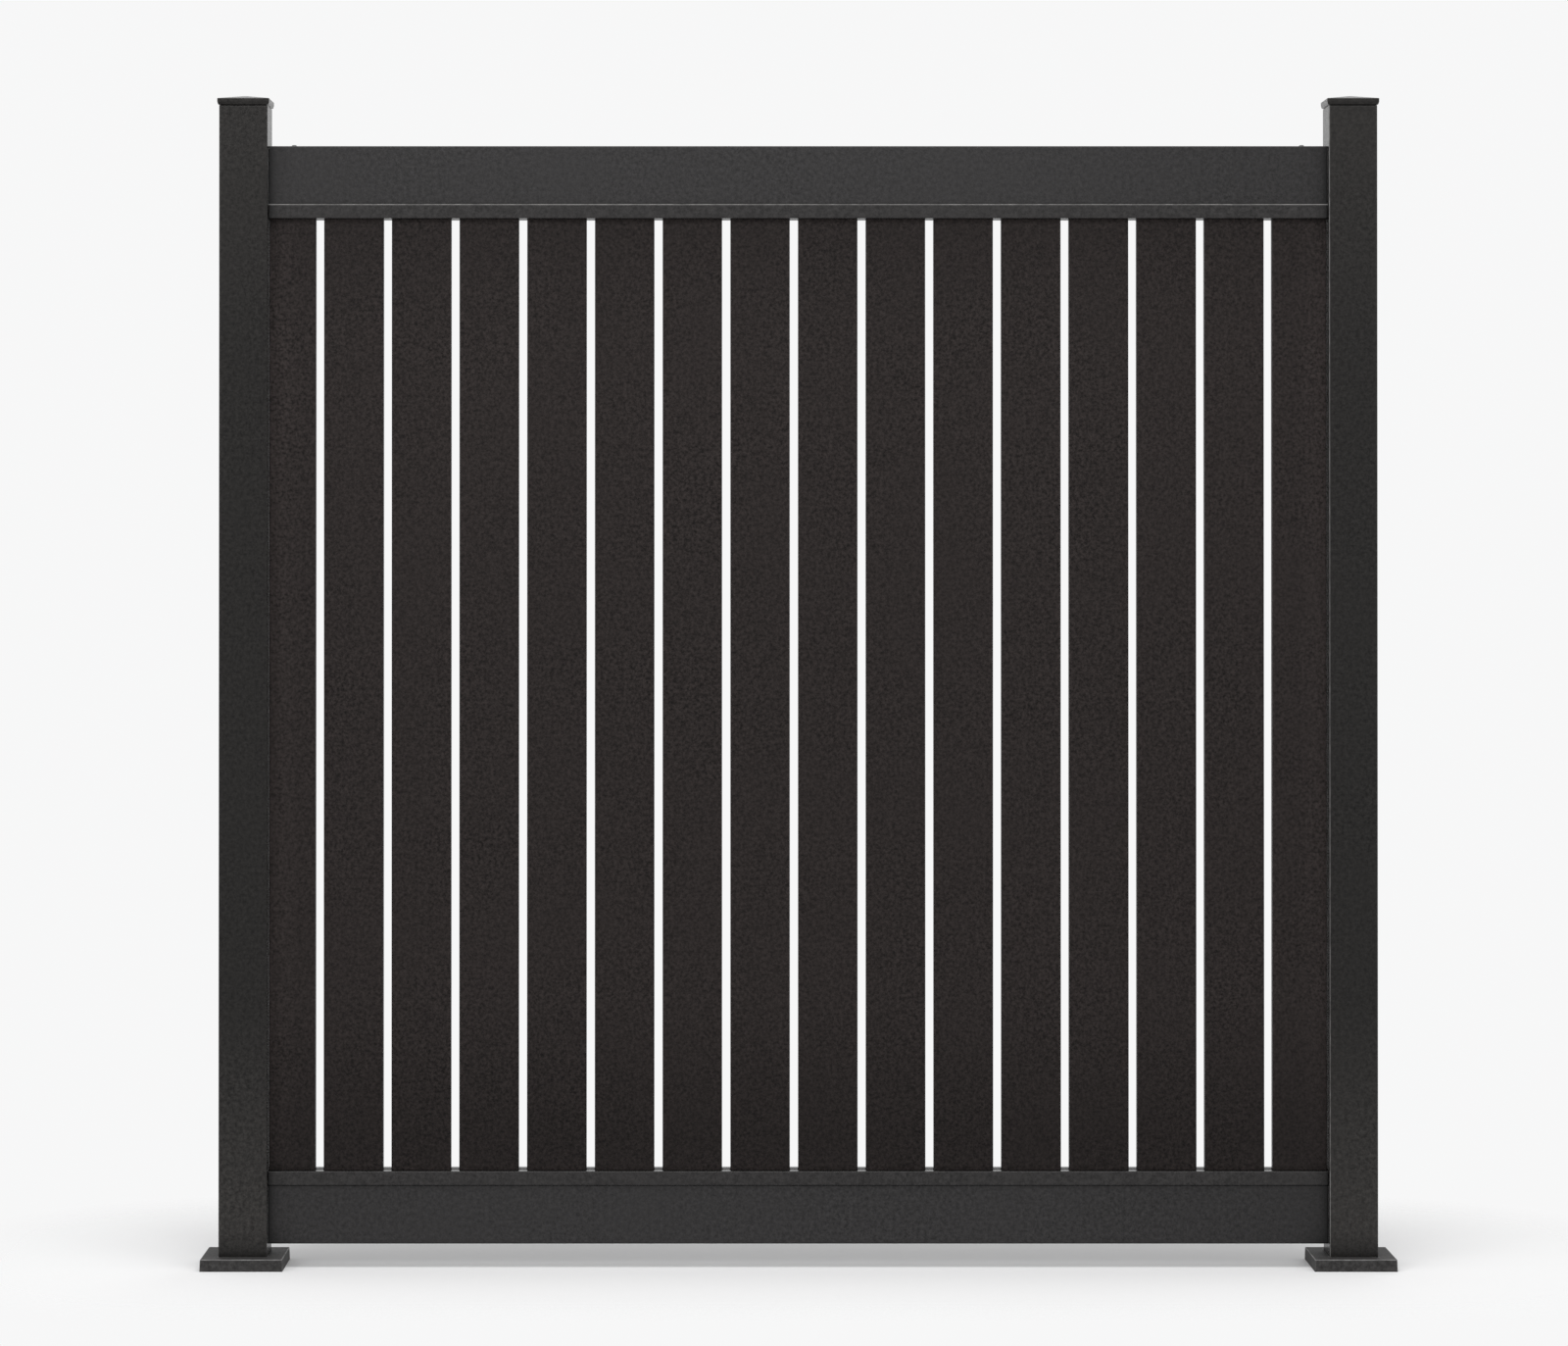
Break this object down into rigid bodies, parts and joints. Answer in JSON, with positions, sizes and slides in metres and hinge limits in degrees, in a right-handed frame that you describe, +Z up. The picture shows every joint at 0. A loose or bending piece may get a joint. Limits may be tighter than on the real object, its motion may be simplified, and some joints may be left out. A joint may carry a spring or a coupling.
{
  "type": "slatted privacy screen panel",
  "caption": "Privacy screen panel: upright hollow slats in channelled top and bottom rails, between square posts with flared caps and bolted base plates under covers.",
  "frame": {"origin": "centre of the left base plate's underside, at ground level", "axes": "+X along the panel to the right post, +Y away from the front, +Z up"},
  "size_m": [1.8828, 0.1302, 1.853],
  "materials": {
    "post_coat": "fine-textured powder coat, low gloss",
    "cap_coat": "fine-textured powder coat, low gloss",
    "plate_coat": "fine-textured powder coat, low gloss",
    "skirt_coat": "fine-textured powder coat, low gloss",
    "rail_coat": "fine-textured powder coat, low gloss",
    "channel_coat": "fine-textured powder coat, low gloss",
    "slat_coat": "fine-textured powder coat, low gloss",
    "spacer": "moulded, matt",
    "bracket": "mill finish"
  },
  "bodies": {
    "root": {"bottom_left_bracket": "bracket", "bottom_rail": "rail_coat", "bottom_right_bracket": "bracket", "bottom_slat_channel": "channel_coat", "bottom_spacers": "spacer", "left_base_plate": "plate_coat", "left_base_skirt": "skirt_coat", "left_end_slat": "slat_coat", "left_post": "post_coat", "left_post_cap": "cap_coat", "right_base_plate": "plate_coat", "right_base_skirt": "skirt_coat", "right_end_slat": "slat_coat", "right_post": "post_coat", "right_post_cap": "cap_coat", "slat_01": "slat_coat", "slat_02": "slat_coat", "slat_03": "slat_coat", "slat_04": "slat_coat", "slat_05": "slat_coat", "slat_06": "slat_coat", "slat_07": "slat_coat", "slat_08": "slat_coat", "slat_09": "slat_coat", "slat_10": "slat_coat", "slat_11": "slat_coat", "slat_12": "slat_coat", "slat_13": "slat_coat", "slat_14": "slat_coat", "top_left_bracket": "bracket", "top_rail": "rail_coat", "top_right_bracket": "bracket", "top_slat_channel": "channel_coat", "top_spacers": "spacer"}
  },
  "joints": []
}
